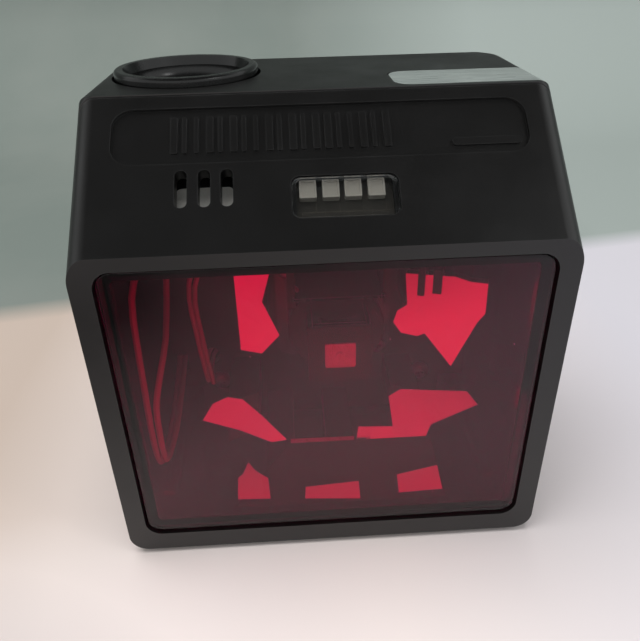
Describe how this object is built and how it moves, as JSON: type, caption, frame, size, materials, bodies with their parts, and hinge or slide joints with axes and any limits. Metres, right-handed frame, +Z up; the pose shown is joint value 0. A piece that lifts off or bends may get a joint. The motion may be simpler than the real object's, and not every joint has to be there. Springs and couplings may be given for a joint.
{
  "type": "presentation barcode scanner",
  "caption": "Compact hands-free presentation barcode scanner with a red laser window, slanted indicator panel, dished top button and spinning polygon optics.",
  "frame": {"origin": "on the surface that the scanner stands on, under the middle of its housing", "axes": "-Y out of the red window, +X to the right when facing the window, +Z up"},
  "size_m": [0.068, 0.05, 0.0723],
  "materials": {
    "housing_plastic": "fine spark-eroded texture, matt black moulding",
    "button_plastic": "smooth satin black moulding",
    "inner_plastic": "black glass-filled moulding",
    "black_part": "black moulded component body",
    "pale_plastic": "pale switch plunger",
    "pale_felt": "pale felt pad",
    "black_foam": "black foam gasket",
    "foot_rubber": "black rubber",
    "red_window": "dark red filter pane, polished",
    "clear_lens": "clear moulded light pipe",
    "white_lamp": "white lamp housing",
    "circuit_board": "green solder mask",
    "dark_board": "dark brown laminate",
    "flat_lead": "amber polyimide flat lead",
    "wire_cover": "pale wire insulation",
    "silver_label": "blank silver label stock",
    "glass_mirror": "front-surface mirror",
    "steel_screw": "zinc plated steel",
    "spring_steel": "bright steel",
    "laminated_steel": "stacked laminations",
    "magnet": "bonded ferrite",
    "blackened_steel": "black oxide finish",
    "brass": "turned brass",
    "gold_contact": "gold flashed contact",
    "copper_wire": "enamelled copper wire"
  },
  "bodies": {
    "housing": {"front_cover": "housing_plastic", "rear_housing": "housing_plastic", "case_screws": "steel_screw", "feet": "foot_rubber", "window_pane": "red_window", "window_gasket": "black_foam", "led_lens": "clear_lens", "leds": "white_lamp", "led_board": "dark_board", "led_lead": "wire_cover", "buzzer": "black_part", "buzzer_felt": "pale_felt", "buzzer_lead": "wire_cover", "button_carrier": "inner_plastic", "carrier_screws": "steel_screw", "tact_switch": "black_part", "switch_board": "circuit_board", "switch_board_screws": "steel_screw", "switch_flex": "flat_lead", "optical_chassis": "inner_plastic", "chassis_screws": "steel_screw", "mirror_upper_left": "glass_mirror", "mirror_upper_right": "glass_mirror", "mirror_lower_left": "glass_mirror", "mirror_lower_right": "glass_mirror", "bottom_mirrors": "glass_mirror", "bed_strip": "spring_steel", "collecting_mirror": "glass_mirror", "laser_barrel": "brass", "laser_lens": "clear_lens", "laser_diode": "brass", "laser_flex": "flat_lead", "photodiode": "black_part", "photodiode_filter": "red_window", "photodiode_board": "circuit_board", "shaft_bearing": "brass", "stator_core": "laminated_steel", "stator_windings": "copper_wire", "motor_board": "circuit_board", "motor_screws": "steel_screw", "main_board": "circuit_board", "main_board_parts": "black_part", "board_screws": "steel_screw", "interface_board": "circuit_board", "header_pins": "gold_contact", "data_jack": "black_part", "jack_contacts": "gold_contact", "threaded_inserts": "brass", "top_label": "silver_label", "rear_label": "silver_label"},
    "button": {"button_cap": "button_plastic", "button_spring": "spring_steel"},
    "plunger": {"switch_plunger": "pale_plastic"},
    "rotor": {"polygon_block": "inner_plastic", "facet_mirrors": "glass_mirror", "polygon_clip": "spring_steel", "rotor_cup": "blackened_steel", "rotor_magnet": "magnet", "motor_shaft": "spring_steel"}
  },
  "joints": [
    {"name": "button_press", "type": "slide", "parent": "housing", "child": "button", "axis": [0, 0, -1], "range_m": [0, 0.0006], "stiffness_N_per_m": 900, "springref_m": -0.001, "deforming": ["button_spring"]},
    {"name": "switch_press", "type": "slide", "parent": "housing", "child": "plunger", "axis": [0, 0, -1], "range_m": [0, 0.0006]},
    {"name": "polygon_spin", "type": "hinge", "parent": "housing", "child": "rotor", "pos_m": [0.0026, 0, 0.0288], "axis": [0, 1, 0], "continuous": true}
  ],
  "couplings": [
    {"joint": "switch_press", "follows": "button_press", "ratio": 1}
  ]
}
